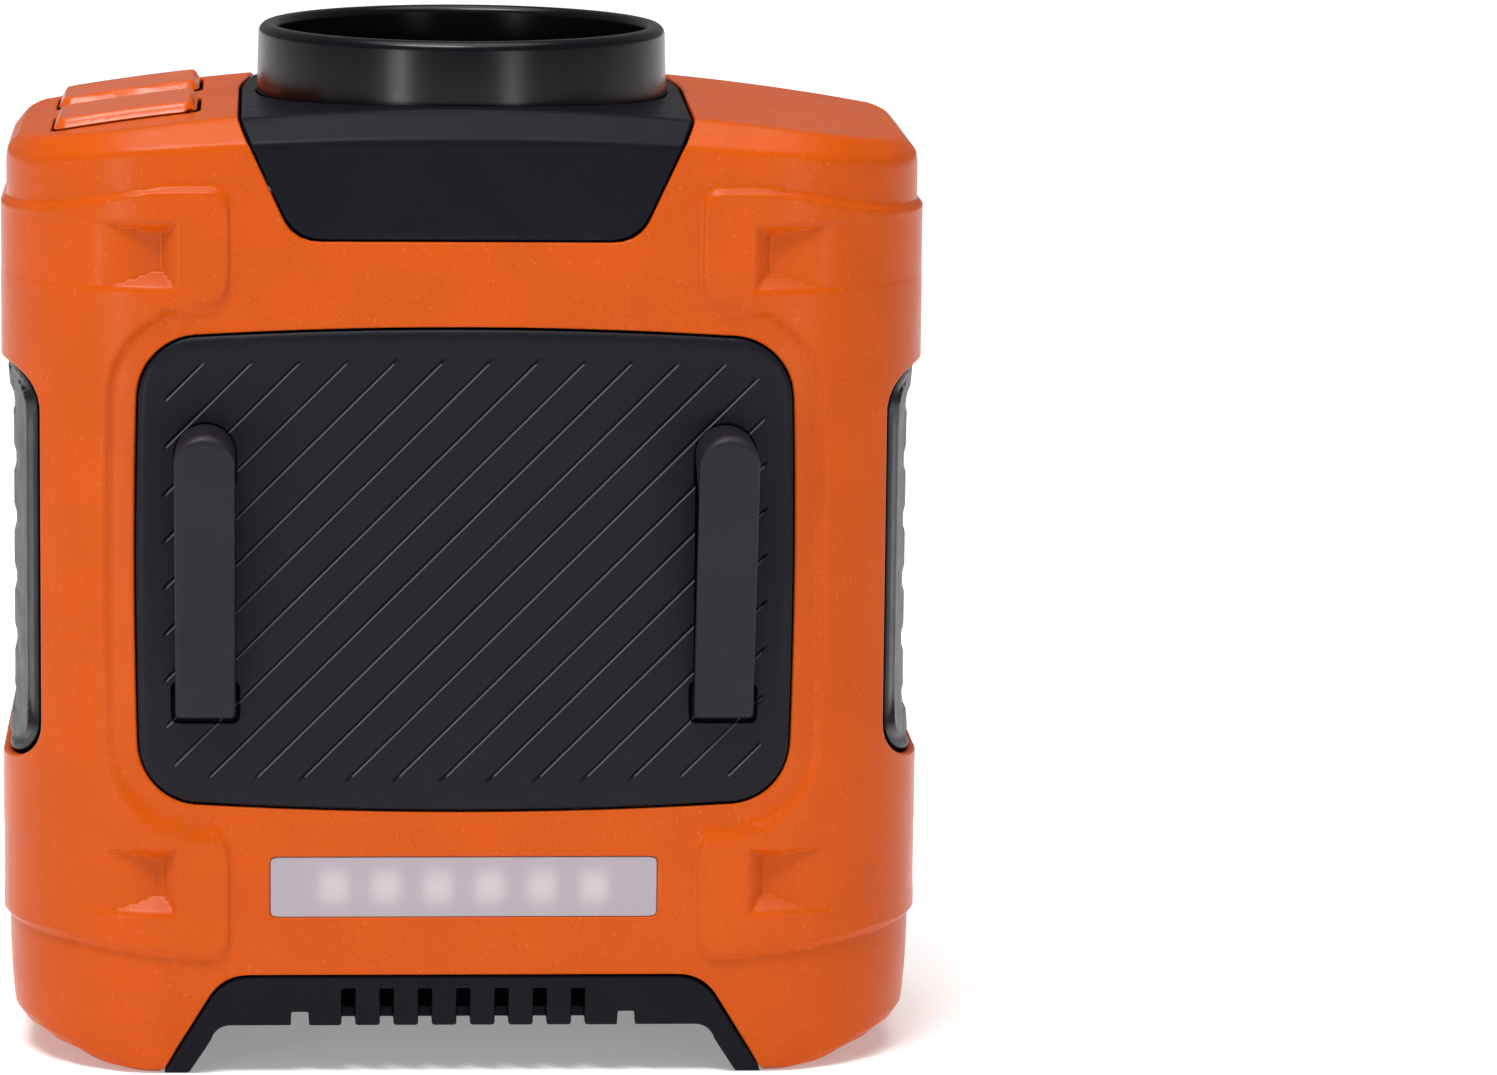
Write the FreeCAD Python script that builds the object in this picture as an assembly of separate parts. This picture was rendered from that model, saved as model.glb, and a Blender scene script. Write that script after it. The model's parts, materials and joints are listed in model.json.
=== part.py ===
"""Belt-clip cooling fan with an LED work light: every separate piece, in millimetres.

Frame: origin in the middle of the whole object's footprint, on the resting plane, +Z up,
-Y towards the clip side, +X to the right seen from the clip side. The pieces are drawn about
the axis of the round air outlet and moved by ORIGIN_SHIFT at the end.
"""
import FreeCAD, Part
import math
import os

# Driving dimensions of the housing
HALF_WIDTH = 54.4
FRONT = -31.0
REAR = 27.0
CROWN = 113.9
FIELD_DROP = 1.0
WALL = 2.0
GAP = 0.2
FRONT_CORNER = 20.0
REAR_CORNER = 16.0

# Air outlet and fan
RING_OUTER = 24.3
RING_CREST = 121.3
BORE = 21.9
THROAT_LOW = 100.2
GUARD_TOP = 105.8
LEDGE = 0.6
DUCT_LOW = 62.0
IMPELLER_R = 21.2
HUB_R = 9.0
BLADES = 7
SHAFT_R = 1.5
RUNNING_GAP = 0.05

# Panel opening, the same on both faces
PANEL_HALF = 38.1
PANEL_LOW = 31.9
PANEL_HIGH = 88.6
PANEL_CORNER = 7.5

# Belt clips
CLIP_X = 30.2
CLIP_WIDTH = 7.0
CLIP_TOP = 77.5
CLIP_TIP = 43.0
CLIP_REACH = -40.2
PIVOT_Y = -29.0
PIVOT_Z = 74.0
PIN_R = 0.8

# Lamp window
LAMP_HALF = 22.1
LAMP_LOW = 19.7
LAMP_HIGH = 25.9
LAMP_COUNT = 6
LAMP_PITCH = 6.1

# Side grips
GRIP_EDGE = 49.2
GRIP_LOW = 36.0
GRIP_HIGH = 83.0
GRIP_DROP = 2.4
RIDGE_RISE = 0.6
RIDGE_PITCH = 7.3
RIDGES = 6

# Collar around the outlet
COLLAR_LOW = 98.7
COLLAR_HALF_LOW = 20.0
COLLAR_HALF_TOP = 27.2
SEAT_Z = 112.9

# Intake base
BASE_TOP = 12.0
ARCH_TOP = 5.9
FLOOR_LOW = 6.4
FLOOR_HIGH = 7.8
SLOTS = 7
SLOT_HIGH = 10.3
SLOT_PITCH = 4.5
SLOT_WIDTH = 1.6

# Shoulder keys
KEY_X = (-48.0, -30.6)
KEYS = {"key_light": (-19.5, -3.5), "key_fan": (1.5, 16.0)}
KEY_RISE = 1.0
KEY_TRAVEL = 0.6
KEY_BOARD_TOP = 102.4
SWITCH_TOP = 105.3

# Cells, boards and fasteners
CELL_R = 9.2
CELL_X = 37.6
CELL_Y = 10.4
CELL_Z = (20.0, 85.0)
SCREW_X = 31.5
SCREW_Z = (14.5, 97.0)
SCREW_R = 1.3

# Charging port bay in the rear face
PORT_Z = 20.8
PORT_HALF = 7.0
PORT_RISE = 3.6
COVER_HINGE_Y = REAR - 1.9
COVER_HINGE_Z = PORT_Z - PORT_RISE + 1.3
COVER_PIN_R = 0.5

# The drawing axis lies this far behind the middle of the footprint
ORIGIN_SHIFT = -(CLIP_REACH + REAR) / 2

FAR = 80.0

# How far the middle of a quarter arc of unit radius lies from each of its two sides
CUT = 1 - math.sqrt(0.5)


def vec(x, y, z):
    return FreeCAD.Vector(x, y, z)


def box(x0, x1, y0, y1, z0, z1):
    return Part.makeBox(x1 - x0, y1 - y0, z1 - z0, vec(x0, y0, z0))


def rod(radius, start, end):
    """A round bar from start to end."""
    way = end.sub(start)
    return Part.makeCylinder(radius, way.Length, start, way)


def prism(start, steps, place, sweep):
    """Extrude an outline. A step is a point for a line, or (middle, end) for an arc."""
    edges = []
    here = start
    for step in steps + [start]:
        if isinstance(step[0], tuple):
            middle, end = step
            edges.append(Part.Arc(place(*here), place(*middle), place(*end)).toShape())
        else:
            end = step
            edges.append(Part.LineSegment(place(*here), place(*end)).toShape())
        here = end
    return Part.Face(Part.Wire(edges)).extrude(sweep)


def front_prism(start, steps, y0=-FAR, y1=FAR):
    """An outline drawn in X and Z, extruded along Y."""
    return prism(start, steps, lambda x, z: vec(x, y0, z), vec(0, y1 - y0, 0))


def side_prism(start, steps, x0, x1):
    """An outline drawn in Y and Z, extruded along X."""
    return prism(start, steps, lambda y, z: vec(x0, y, z), vec(x1 - x0, 0, 0))


def plan_prism(start, steps, z0, z1):
    """An outline drawn in X and Y, extruded along Z."""
    return prism(start, steps, lambda x, y: vec(x, y, z0), vec(0, 0, z1 - z0))


def mirrored(shape):
    """The same shape on the other side of the YZ plane."""
    return shape.mirror(vec(0, 0, 0), vec(1, 0, 0))


def both_sides(shape):
    return shape.fuse(mirrored(shape)).removeSplitter()


def fused(shapes):
    whole = shapes[0]
    for shape in shapes[1:]:
        whole = whole.fuse(shape)
    return whole.removeSplitter()


def without(shape, cutters):
    for cutter in cutters:
        shape = shape.cut(cutter)
    return shape


def hull_block(inset, lid, shoulder=17.6):
    """The housing's outer form, moved in by inset at the walls and by lid at the top and base.

    The flat top ends at shoulder, and slopes down to the rear wall from there.
    """
    wide = HALF_WIDTH - inset
    near = FRONT + inset
    back = REAR - inset
    top = CROWN - lid
    turn = FRONT_CORNER - inset
    bend = REAR_CORNER - inset
    plan = plan_prism((0, near), [
        (wide - turn, near), ((wide - turn * CUT, near + turn * CUT), (wide, near + turn)),
        (wide, back - bend), ((wide - bend * CUT, back - bend * CUT), (wide - bend, back)),
        (0, back)], -5, 130)
    face = front_prism((0, lid), [
        (39.5, lid), (51.2 - inset, 2.4 + lid), (52.6 - inset, 4.4 + lid), (wide - 1.2, 12),
        (wide, 16), (wide, 104.5 - lid), ((wide - 1.4, 108.6 - lid), (48.8 - inset, 111 - lid)),
        ((24.5, top - 0.75), (0, top))])
    side = side_prism((near + 1, lid), [
        (near, 3 + lid), (near, 109.6 - lid), ((near + 1.2, 112 - lid), (near + 4, top)),
        (shoulder, top), (back - 1, 108 - lid), (back, 104 - lid), (back, 3 + lid),
        (back - 1, lid)], 0, FAR)
    return both_sides(plan.common(face).common(side))


def raised_frame():
    """Region of the four corner bumpers and the columns between them, seen from the front."""
    right = front_prism((27.5, 105.2), [
        (56, 101.8), (56, 83.6), (GRIP_EDGE, 83.6), (GRIP_EDGE, 35.4), (56, 35.4), (56, 16),
        (27.5, 13.8), (27.5, 28), (40.2, 34), (40.2, 86.5), (27.5, 92.5)])
    return fused([right, mirrored(right)])


def panel_region(grow, y0, y1):
    """Rounded, slightly bowed panel outline, grown outwards by grow."""
    wide = PANEL_HALF + grow
    low = PANEL_LOW - grow
    high = PANEL_HIGH + grow
    turn = PANEL_CORNER + grow
    bow = 0.9
    cut = turn * CUT
    half = front_prism((0, low), [
        (wide - turn, low + bow), ((wide - cut, low + cut + 0.3), (wide - 0.3, low + turn)),
        ((wide, (low + high) / 2), (wide - 0.3, high - turn)),
        ((wide - cut, high - cut - 0.3), (wide - turn, high - bow)), (0, high)], y0, y1)
    return fused([half, mirrored(half)])


def collar_region(shrink):
    """The space of the black collar: a trapezium in front view, narrowing to the rear in plan."""
    low = COLLAR_HALF_LOW - shrink
    top = COLLAR_HALF_TOP - shrink
    face = front_prism((0, COLLAR_LOW + shrink), [
        (low, COLLAR_LOW + shrink), (top - 0.6, 113), (top, 130), (0, 130)])
    plan = plan_prism((0, -FAR), [
        (top, -FAR), (top, 0), (top - 2.2, 17), (top - 4.6, REAR + 2), (0, REAR + 2)], 60, 130)
    return both_sides(face.common(plan))


def grip_region(shrink):
    """The space of one side grip, on the right."""
    return box(GRIP_EDGE + shrink, FAR, FRONT + 2, REAR - 2, GRIP_LOW + shrink, GRIP_HIGH - shrink)


def base_region(shrink):
    """The space of the black intake base: a trapezium with rounded shoulders in front view."""
    half = front_prism((0, -5), [
        (38.3 - shrink, -5), (35.4 - shrink, 0), (30.1 - shrink, 8.9 - shrink),
        ((28.1 - shrink, 11.1 - shrink), (24.9 - shrink, BASE_TOP - shrink)), (0, BASE_TOP - shrink)])
    return fused([half, mirrored(half)])


def key_region(shrink, y_range, z0, z1):
    return box(KEY_X[0] + shrink, KEY_X[1] - shrink, y_range[0] + shrink, y_range[1] - shrink, z0, z1)


def pockets():
    """Eight shallow pockets, one in each bumper of both faces."""
    found = []
    for low, high in ((93.2, 100.9), (19.5, 27.2)):
        for y0, y1 in ((FRONT - 5, FRONT + 1.5), (REAR - 1.5, REAR + 5)):
            one = front_prism((33.2, low), [(42.6, low), (42.6, high), (33.2, high)], y0, y1)
            found += [one, mirrored(one)]
    return found


def housing():
    """Both orange shells as one hollow body, before it is split at the parting plane."""
    field = hull_block(FIELD_DROP, 0)
    skin = field.fuse(hull_block(0, 0).common(raised_frame())).removeSplitter()
    skin = without(skin, pockets())
    hollow = hull_block(FIELD_DROP + WALL, WALL)
    grip = grip_region(0)
    cutters = [hollow, panel_region(0, -FAR, FRONT + 8), panel_region(0, REAR - 8, FAR),
               collar_region(0), base_region(0), grip, mirrored(grip),
               box(-LAMP_HALF, LAMP_HALF, -FAR, -20, LAMP_LOW, LAMP_HIGH),
               box(-PORT_HALF, PORT_HALF, 20, FAR, PORT_Z - PORT_RISE, PORT_Z + PORT_RISE)]
    cutters += [key_region(0, span, 100, 130) for span in KEYS.values()]
    return without(skin, cutters)


def screw_places():
    return [(side * SCREW_X, z) for z in SCREW_Z for side in (-1, 1)]


def front_shell(body):
    shell = body.common(box(-FAR, FAR, -FAR, 0, -5, 130))
    bosses = [rod(3.2, vec(x, -28.5, z), vec(x, 0, z)) for x, z in screw_places()]
    pilots = [rod(SCREW_R + 0.1, vec(x, -20, z), vec(x, 3, z)) for x, z in screw_places()]
    return without(fused([shell] + bosses), pilots)


def rear_shell(body):
    shell = body.common(box(-FAR, FAR, 0, FAR, -5, 130))
    bosses = [rod(3.4, vec(x, 0.1, z), vec(x, 24.6, z)) for x, z in screw_places()]
    bores = [rod(SCREW_R + 0.1, vec(x, -1, z), vec(x, 30, z)) for x, z in screw_places()]
    sinks = [rod(2.6, vec(x, 18, z), vec(x, 30, z)) for x, z in screw_places()]
    return without(fused([shell] + bosses), bores + sinks + [port_cover_pin()])


def housing_screws():
    """Four self-tapping screws that close the housing from the rear."""
    group = []
    for x, z in screw_places():
        shank = rod(SCREW_R, vec(x, -14, z), vec(x, 18, z))
        head = rod(2.4, vec(x, 18, z), vec(x, 20, z))
        cross = box(x - 0.3, x + 0.3, 19.2, 21, z - 1.4, z + 1.4)
        cross = cross.fuse(box(x - 1.4, x + 1.4, 19.2, 21, z - 0.3, z + 0.3))
        group.append(shank.fuse(head).removeSplitter().cut(cross))
    return Part.makeCompound(group)


def collar():
    """Both collar halves as one shell with the round seat for the outlet ring."""
    outer = hull_block(FIELD_DROP, 0, RING_OUTER + 0.6).common(collar_region(GAP))
    hollow = hull_block(FIELD_DROP + WALL, WALL, RING_OUTER + 0.6)
    seat = rod(RING_OUTER + GAP, vec(0, 0, SEAT_Z), vec(0, 0, 130))
    throat = rod(BORE + 1.3, vec(0, 0, 90), vec(0, 0, 130))
    return without(outer, [hollow, seat, throat])


def outlet_ring():
    """The upstanding outlet ring with its rounded lip and the sleeve below it."""
    crest = RING_CREST
    start = (RING_OUTER, SEAT_Z)
    neck = BORE - LEDGE
    steps = [(RING_OUTER - 0.4, crest - 1.1), ((RING_OUTER - 1.2, crest), (BORE + 0.4, crest - 0.4)),
             (BORE, crest - 1.2), (BORE, GUARD_TOP), (neck, GUARD_TOP), (neck, THROAT_LOW),
             (BORE + 1.1, THROAT_LOW), (BORE + 1.1, SEAT_Z)]
    return spun(start, steps)


def spun(start, steps):
    """Revolve an outline of radius and height once round the outlet axis."""
    edges = []
    here = start
    for step in steps + [start]:
        arc = isinstance(step[0], tuple)
        end = step[1] if arc else step
        ends = vec(here[0], 0, here[1]), vec(end[0], 0, end[1])
        if arc:
            middle = vec(step[0][0], 0, step[0][1])
            edges.append(Part.Arc(ends[0], middle, ends[1]).toShape())
        else:
            edges.append(Part.LineSegment(*ends).toShape())
        here = end
    return Part.Face(Part.Wire(edges)).revolve(vec(0, 0, 0), vec(0, 0, 1), 360)


def outlet_guard():
    """Finger guard: a hub, three hoops, a rim and four spokes across the throat."""
    low, high = GUARD_TOP - 1.6, GUARD_TOP
    rim = BORE - LEDGE - 0.1
    hub = rod(5.5, vec(0, 0, low), vec(0, 0, high))
    hoops = [spun((r - 1.2, low), [(r, low), (r, high), (r - 1.2, high)]) for r in (9.6, 13.6, 17.6, rim)]
    spokes = [hub]
    for turn in range(4):
        bar = box(5, rim - 0.3, -0.6, 0.6, low, high)
        bar.rotate(vec(0, 0, 0), vec(0, 0, 1), 45 + 90 * turn)
        spokes.append(bar)
    return fused(hoops + spokes)


def fan_duct():
    """Straight duct round the rotor, with an ear on each side."""
    top = THROAT_LOW - 0.1
    tube = spun((BORE, DUCT_LOW), [(BORE + 1.8, DUCT_LOW), (BORE + 1.8, top), (BORE, top)])
    ears = box(-27.5, 27.5, -4, 4, 94, 96).cut(rod(BORE + 0.5, vec(0, 0, 90), vec(0, 0, 100)))
    return fused([tube, ears])


def motor_mount():
    """Spider under the impeller: a cup for the motor, held by five guide vanes."""
    cup = rod(8.4, vec(0, 0, 66), vec(0, 0, 80)).cut(rod(7.1, vec(0, 0, 67.5), vec(0, 0, 81)))
    vanes = []
    for turn in range(5):
        vane = box(8.0, BORE - 0.1, -0.6, 0.6, 67, 78)
        vane.rotate(vec(0, 0, 72), vec(1, 0, 0), 12)
        vane.rotate(vec(0, 0, 0), vec(0, 0, 1), 72 * turn)
        vanes.append(vane)
    return fused([cup] + vanes)


def motor_stator():
    """Wound core: a tube for the bearings with nine teeth."""
    core = rod(3.6, vec(0, 0, 67.6), vec(0, 0, 79.6))
    teeth = []
    for turn in range(9):
        tooth = box(3.0, 5.8, -0.7, 0.7, 70, 77)
        tooth.rotate(vec(0, 0, 0), vec(0, 0, 1), 40 * turn)
        teeth.append(tooth)
    return fused([core] + teeth).cut(rod(2.6, vec(0, 0, 60), vec(0, 0, 90)))


def motor_bearing(z):
    """One bearing pressed in the stator tube, with the shaft running inside."""
    return rod(2.6, vec(0, 0, z), vec(0, 0, z + 2.2)).cut(
        rod(SHAFT_R + RUNNING_GAP, vec(0, 0, z - 1), vec(0, 0, z + 4)))


def motor_shaft():
    return rod(SHAFT_R, vec(0, 0, 68), vec(0, 0, 90))


def motor_rotor():
    """Magnet can over the stator, pressed on the shaft."""
    can = rod(6.9, vec(0, 0, 69), vec(0, 0, 82)).cut(rod(6.1, vec(0, 0, 68), vec(0, 0, 80.4)))
    return can.cut(rod(SHAFT_R, vec(0, 0, 60), vec(0, 0, 90)))


def impeller():
    """Axial rotor: a capped hub that drops over the motor, and raked blades."""
    hub = rod(HUB_R, vec(0, 0, 81), vec(0, 0, 96)).cut(rod(7.3, vec(0, 0, 80), vec(0, 0, 86)))
    nose = Part.makeSphere(14, vec(0, 0, 86.2)).common(rod(HUB_R, vec(0, 0, 95.9), vec(0, 0, 102)))
    limit = rod(IMPELLER_R, vec(0, 0, 83), vec(0, 0, 95.5))
    blades = []
    for turn in range(BLADES):
        blade = box(HUB_R - 1.2, IMPELLER_R + 2, -9, 9, 88.6, 90)
        blade.rotate(vec(0, 0, 89.3), vec(1, 0, 0), 38)
        blade.rotate(vec(0, 0, 0), vec(0, 0, 1), 360 / BLADES * turn)
        blades.append(blade.common(limit))
    return fused([hub, nose] + blades).cut(rod(SHAFT_R, vec(0, 0, 60), vec(0, 0, 90)))


def panel_lip(near):
    """Two strips behind the housing wall that keep a panel in its opening, above and below."""
    frame = panel_region(2.5, near, near + 1.3).cut(panel_region(-3, near - 1, near + 3))
    return frame.common(box(-33, 33, -FAR, FAR, 0, 130))


def clip_plate():
    """Front panel that carries the clips, with a lip behind the housing and diagonal grooves."""
    face = FRONT + 0.6
    plate = fused([panel_region(-GAP, face, face + 3.4), panel_lip(FRONT + FIELD_DROP + WALL + 0.1)])
    pitch = 5.5
    inner = panel_region(-3.5, face - 1, face + 0.35)
    bars = []
    for step in range(-12, 13):
        bar = box(-0.2, 0.2, face - 1, face + 0.35, -60, 60)
        bar.rotate(vec(0, 0, 0), vec(0, 1, 0), 45)
        bar.translate(vec(step * pitch, 0, (PANEL_LOW + PANEL_HIGH) / 2))
        bars.append(bar.common(inner))
    slots = []
    for x in (-CLIP_X, CLIP_X):
        half = CLIP_WIDTH / 2 + 0.2
        slots.append(front_prism((x - half, PIVOT_Z - 4.2), [
            (x + half, PIVOT_Z - 4.2), (x + half, CLIP_TOP - 3.2),
            ((x, CLIP_TOP + 0.5), (x - half, CLIP_TOP - 3.2))]))
        slots.append(rod(PIN_R, vec(x - 7, PIVOT_Y, PIVOT_Z), vec(x + 7, PIVOT_Y, PIVOT_Z)))
        slots.append(box(x - 4, x + 4, -FAR, face + 0.6, CLIP_TIP - 0.6, CLIP_TIP + 4))
    return without(plate, [Part.makeCompound([bar for bar in bars if bar.Solids])] + slots)


def clip_pin(x):
    return rod(PIN_R, vec(x - 6.8, PIVOT_Y, PIVOT_Z), vec(x + 6.8, PIVOT_Y, PIVOT_Z))


def belt_clip(x):
    """One clip: a root post on the pin, and an arm that slopes down to the panel."""
    half = CLIP_WIDTH / 2
    face = FRONT + 0.6
    arm = side_prism((PIVOT_Y + 1.4, PIVOT_Z + 3.4), [
        ((CLIP_REACH + 3, CLIP_TOP), (CLIP_REACH, CLIP_TOP - 4)),
        (face - 1.7, CLIP_TIP), (face + 0.3, CLIP_TIP), (face + 0.2, CLIP_TIP + 3.4),
        (CLIP_REACH + 2.4, PIVOT_Z - 3.2), (PIVOT_Y + 1.4, PIVOT_Z - 3.2)], x - half, x + half)
    outline = front_prism((x - half, CLIP_TIP), [
        (x + half, CLIP_TIP), (x + half, CLIP_TOP - half), ((x, CLIP_TOP), (x - half, CLIP_TOP - half))])
    hole = rod(PIN_R + RUNNING_GAP, vec(x - 9, PIVOT_Y, PIVOT_Z), vec(x + 9, PIVOT_Y, PIVOT_Z))
    return arm.common(outline).cut(hole)


def rear_panel():
    """Rear intake panel: the same outline as the clip plate, with louvre slots."""
    face = REAR - 0.6
    plate = fused([panel_region(-GAP, face - 2.2, face), panel_lip(REAR - FIELD_DROP - WALL - 1.4)])
    frame = panel_region(-GAP, face - 3.6, face).cut(panel_region(-3, face - 5, face + 3))
    plate = fused([plate, frame])
    slots = []
    for row in range(9):
        z = 40.0 + row * 5.0
        for x0, x1 in ((-27, -10), (-8.5, 8.5), (10, 27)):
            slots.append(box(x0, x1, face - 8, face + 4, z - 0.9, z + 0.9))
    duct_room = box(-12, 12, 0, face - 2.2, DUCT_LOW - 2, 100)
    return without(plate, slots + [duct_room])


def led_window():
    """Frosted lens, flush in the front shell, with a flange behind the wall."""
    near = FRONT + 1.15
    lens = box(-LAMP_HALF + GAP, LAMP_HALF - GAP, near, near + 2, LAMP_LOW + GAP, LAMP_HIGH - GAP)
    back = FRONT + FIELD_DROP + WALL + 0.1
    flange = box(-LAMP_HALF - 1, LAMP_HALF + 1, back, back + 1, LAMP_LOW - 1, LAMP_HIGH + 1)
    return fused([lens, flange])


def led_board():
    return box(-21, 21, -24.4, -23.2, LAMP_LOW, LAMP_HIGH)


def led_chips():
    """Six surface-mounted lamps on the lamp board."""
    middle = (LAMP_LOW + LAMP_HIGH) / 2
    chips = []
    for index in range(LAMP_COUNT):
        x = (index - (LAMP_COUNT - 1) / 2) * LAMP_PITCH
        chips.append(box(x - 1.4, x + 1.4, -25.1, -24.4, middle - 1.4, middle + 1.4))
    return Part.makeCompound(chips)


def side_grip():
    """Right grip pad with ridges, following the housing's plan curve."""
    body = hull_block(GRIP_DROP, 0).common(grip_region(GAP))
    body = body.cut(hull_block(GRIP_DROP + 2.2, 0))
    ridges = []
    for index in range(RIDGES):
        z = (GRIP_LOW + GRIP_HIGH) / 2 + (index - (RIDGES - 1) / 2) * RIDGE_PITCH
        ridges.append(box(50, FAR, -13, 9, z - 1.5, z + 1.5))
    band = hull_block(GRIP_DROP - RIDGE_RISE, 0).cut(hull_block(GRIP_DROP + 0.5, 0))
    raised = [band.common(ridge) for ridge in ridges]
    return fused([body] + raised)


def base_grille():
    """Black intake base: a tray with an arch under it and slots in its front and rear walls."""
    outer = hull_block(FIELD_DROP, 0).common(base_region(GAP))
    arch = front_prism((-32.2, -1), [
        (32.2, -1), (32.2, 0), (29.6, 4.2), ((28.8, 5.4), (27.4, ARCH_TOP)), (-27.4, ARCH_TOP),
        ((-28.8, 5.4), (-29.6, 4.2)), (-32.2, 0)])
    tray = box(-25.6, 25.6, FRONT + 3.4, REAR - 3.4, FLOOR_HIGH, 20)
    under = box(-22, 22, FRONT + 3.4, REAR - 3.4, 0, FLOOR_LOW)
    cutters = [arch, tray, under]
    for index in range(SLOTS):
        x = (index - (SLOTS - 1) / 2) * SLOT_PITCH
        x0, x1 = x - SLOT_WIDTH / 2, x + SLOT_WIDTH / 2
        for y0, y1 in ((-FAR, FRONT + 3.4), (REAR - 3.4, FAR)):
            cutters.append(box(x0, x1, y0, y1, 0, SLOT_HIGH))
        for row in range(3):
            y = -17 + row * 13
            cutters.append(box(x0, x1, y, y + 10, 0, 9))
    for side in (-1, 1):
        cutters.append(front_prism((side * 17.8, 0), [
            (side * 20.4, 0), (side * 20.2, ARCH_TOP + 1.6), (side * 18.2, ARCH_TOP + 1.6)],
            -FAR, REAR - 3.4))
    return without(outer, cutters)


def key_middle(span):
    return (KEY_X[0] + KEY_X[1]) / 2, (span[0] + span[1]) / 2


def shoulder_key(span):
    """One push key with a stem over its switch and a retaining lip under the shell."""
    cap = key_region(0.25, span, 103, 130).common(hull_block(FIELD_DROP, -KEY_RISE))
    under = 108.2
    cap = cap.cut(box(-FAR, 0, -FAR, FAR, 100, under))
    lip = box(-45.5, KEY_X[1] - 1, span[0] - 0.7, span[1] + 0.7, under - 1.2, under)
    x, y = key_middle(span)
    stem = rod(1.6, vec(x, y, SWITCH_TOP + KEY_TRAVEL + 0.1), vec(x, y, under))
    return fused([cap, lip, stem])


def key_board():
    return box(-47, -31, -20, 17, KEY_BOARD_TOP - 1.4, KEY_BOARD_TOP)


def key_switches():
    """Two tactile switches on the key board, one under each key stem."""
    group = []
    for span in KEYS.values():
        x, y = key_middle(span)
        body = box(x - 3, x + 3, y - 3, y + 3, KEY_BOARD_TOP, SWITCH_TOP - 0.6)
        group.append(fused([body, rod(1.5, vec(x, y, SWITCH_TOP - 0.6), vec(x, y, SWITCH_TOP))]))
    return Part.makeCompound(group)


def battery_cell(x, y):
    can = rod(CELL_R, vec(x, y, CELL_Z[0]), vec(x, y, CELL_Z[1] - 0.8))
    return fused([can, rod(3, vec(x, y, CELL_Z[1] - 0.8), vec(x, y, CELL_Z[1]))])


def battery_cradle(side):
    """Frame that holds the two cells of one side between a floor and a cap."""
    x0, x1 = sorted((side * 27.6, side * 47.4))
    wall0, wall1 = sorted((side * 26.4, side * 27.6))
    return fused([box(x0, x1, -19.8, 19.8, 18, 19.9), box(x0, x1, -19.8, 19.8, 85.1, 86.6),
                  box(wall0, wall1, -19.8, 19.8, 18, 86.6)])


def main_board():
    """Control board with its coil, capacitors and processor, lying above the intake base."""
    board = box(-22, 22, -2, 22, 17.4, 19)
    capacitors = [rod(3, vec(13, y, 19), vec(13, y, 28)) for y in (5, 13)]
    coil = box(-18, -10, 2, 10, 19, 24)
    chips = [box(-4, 4, 0, 8, 19, 20.2), box(-18, -13, 13, 19, 19, 20.6)]
    return fused([board, coil] + capacitors + chips)


def usb_c_port():
    """Steel shell of the charging socket, with its tongue."""
    low, high = 19.02, 22.28
    shell = box(-4.6, 4.6, 16.4, 23.7, low, high)
    mouth = box(-4.2, 4.2, 17.6, 26, low + 0.4, high - 0.4)
    tongue = box(-3.3, 3.3, 17, 23, low + 1.3, high - 1.3)
    return fused([shell.cut(mouth), tongue])


def across_hinge(radius, half):
    """A round bar along the port cover's hinge line."""
    return rod(radius, vec(-half, COVER_HINGE_Y, COVER_HINGE_Z), vec(half, COVER_HINGE_Y, COVER_HINGE_Z))


def port_cover():
    """Soft flap over the port bay, turning on a pin along its lower edge."""
    flap = box(-PORT_HALF + GAP, PORT_HALF - GAP, REAR - 2.6, REAR - 1.1,
               COVER_HINGE_Z, PORT_Z + PORT_RISE - GAP)
    return fused([flap, across_hinge(1.1, 6.6)]).cut(across_hinge(COVER_PIN_R + RUNNING_GAP, 9))


def port_cover_pin():
    return across_hinge(COVER_PIN_R, 8.4)


def build():
    body = housing()
    ring_support = collar()
    grip = side_grip()
    nodes = {
        "front_shell": front_shell(body),
        "rear_shell": rear_shell(body),
        "housing_screws": housing_screws(),
        "collar_front": ring_support.common(box(-FAR, FAR, -FAR, -0.02, 60, 130)),
        "collar_rear": ring_support.common(box(-FAR, FAR, 0.02, FAR, 60, 130)),
        "outlet_ring": outlet_ring(),
        "outlet_guard": outlet_guard(),
        "fan_duct": fan_duct(),
        "motor_mount": motor_mount(),
        "motor_stator": motor_stator(),
        "motor_bearing_lower": motor_bearing(68.2),
        "motor_bearing_upper": motor_bearing(77.0),
        "motor_shaft": motor_shaft(),
        "motor_rotor": motor_rotor(),
        "impeller": impeller(),
        "clip_plate": clip_plate(),
        "clip_left": belt_clip(-CLIP_X),
        "clip_right": belt_clip(CLIP_X),
        "clip_pin_left": clip_pin(-CLIP_X),
        "clip_pin_right": clip_pin(CLIP_X),
        "rear_panel": rear_panel(),
        "led_window": led_window(),
        "led_board": led_board(),
        "led_chips": led_chips(),
        "grip_right": grip,
        "grip_left": mirrored(grip),
        "base_grille": base_grille(),
        "key_board": key_board(),
        "key_switches": key_switches(),
        "battery_cradle_left": battery_cradle(-1),
        "battery_cradle_right": battery_cradle(1),
        "main_board": main_board(),
        "usb_c_port": usb_c_port(),
        "port_cover": port_cover(),
        "port_cover_pin": port_cover_pin(),
    }
    for name, span in KEYS.items():
        nodes[name] = shoulder_key(span)
    for side, across in ((-1, "left"), (1, "right")):
        for way, along in ((-1, "front"), (1, "rear")):
            nodes[f"battery_cell_{across}_{along}"] = battery_cell(side * CELL_X, way * CELL_Y)
    return nodes


os.makedirs("parts", exist_ok=True)
for name, shape in build().items():
    shape.translate(vec(0, ORIGIN_SHIFT, 0))
    shape.exportStep(f"parts/{name}.step")
    print(f"{name:24s} solids {len(shape.Solids):2d} volume {shape.Volume:10.1f} valid {shape.isValid()}")
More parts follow.
